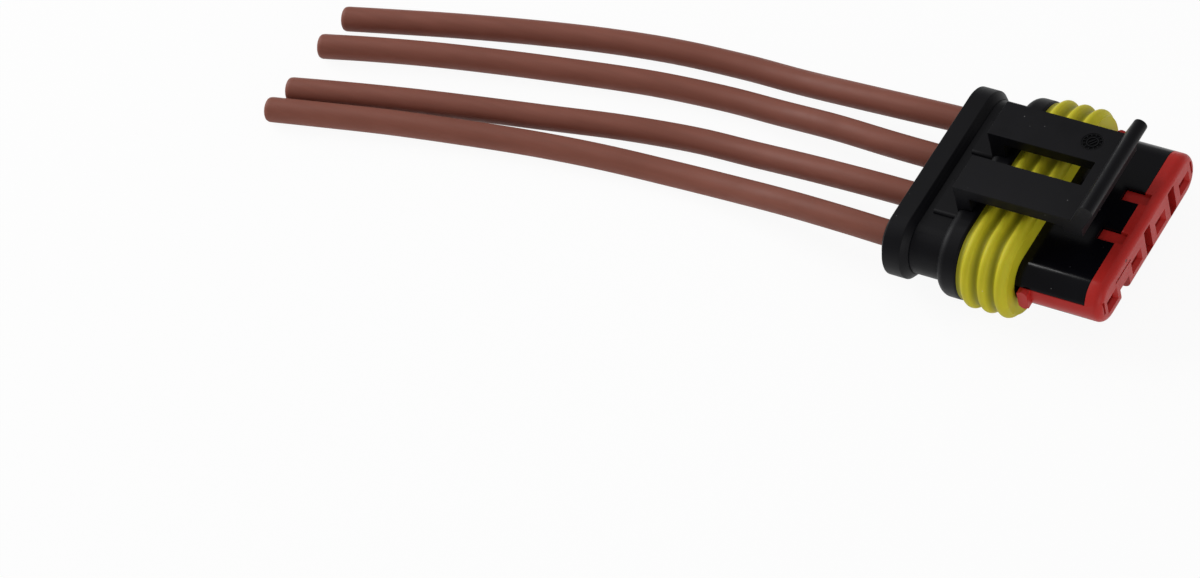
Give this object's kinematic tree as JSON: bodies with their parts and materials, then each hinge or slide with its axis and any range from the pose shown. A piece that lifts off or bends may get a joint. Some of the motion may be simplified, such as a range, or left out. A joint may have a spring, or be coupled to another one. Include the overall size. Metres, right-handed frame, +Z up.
{
  "type": "sealed automotive connector",
  "caption": "Plug half of a sealed in-line wire connector, with a ribbed interface seal, sprung latch and front secondary lock, and its bare-ended leads lying on the surface.",
  "frame": {"origin": "under the middle of the connector, on the surface it lies on, with the leads left out", "axes": "+X mating direction, +Y along the row of contacts, +Z up towards the latch"},
  "size_m": [0.1089, 0.0296, 0.0163],
  "materials": {
    "housing_plastic": "satin black",
    "latch_plastic": "matt black",
    "interface_seal_rubber": "oiled silicone rubber",
    "lock_plastic": "satin red",
    "wire_seal_rubber": "oiled silicone rubber",
    "contact_metal": "tin plating",
    "conductor_metal": "bare stranded copper",
    "lead_insulation": "smooth brown insulation"
  },
  "bodies": {
    "shell": {"housing": "housing_plastic", "interface_seal": "interface_seal_rubber", "wire_seal_1": "wire_seal_rubber", "wire_seal_2": "wire_seal_rubber", "wire_seal_3": "wire_seal_rubber", "wire_seal_4": "wire_seal_rubber", "contact_1": "contact_metal", "contact_2": "contact_metal", "contact_3": "contact_metal", "contact_4": "contact_metal", "conductor_1": "conductor_metal", "conductor_2": "conductor_metal", "conductor_3": "conductor_metal", "conductor_4": "conductor_metal", "lead_1": "lead_insulation", "lead_2": "lead_insulation", "lead_3": "lead_insulation", "lead_4": "lead_insulation"},
    "latch_arm": {"latch": "latch_plastic"},
    "lock": {"secondary_lock": "lock_plastic"}
  },
  "joints": [
    {"name": "latch_flex", "type": "hinge", "parent": "shell", "child": "latch_arm", "pos_m": [-0.005, 0, 0.00917], "axis": [0, -1, 0], "range_deg": [0, 8], "stiffness_Nm_per_rad": 0.02},
    {"name": "lock_slide", "type": "slide", "parent": "shell", "child": "lock", "axis": [1, 0, 0], "range_m": [0, 0.002]}
  ]
}
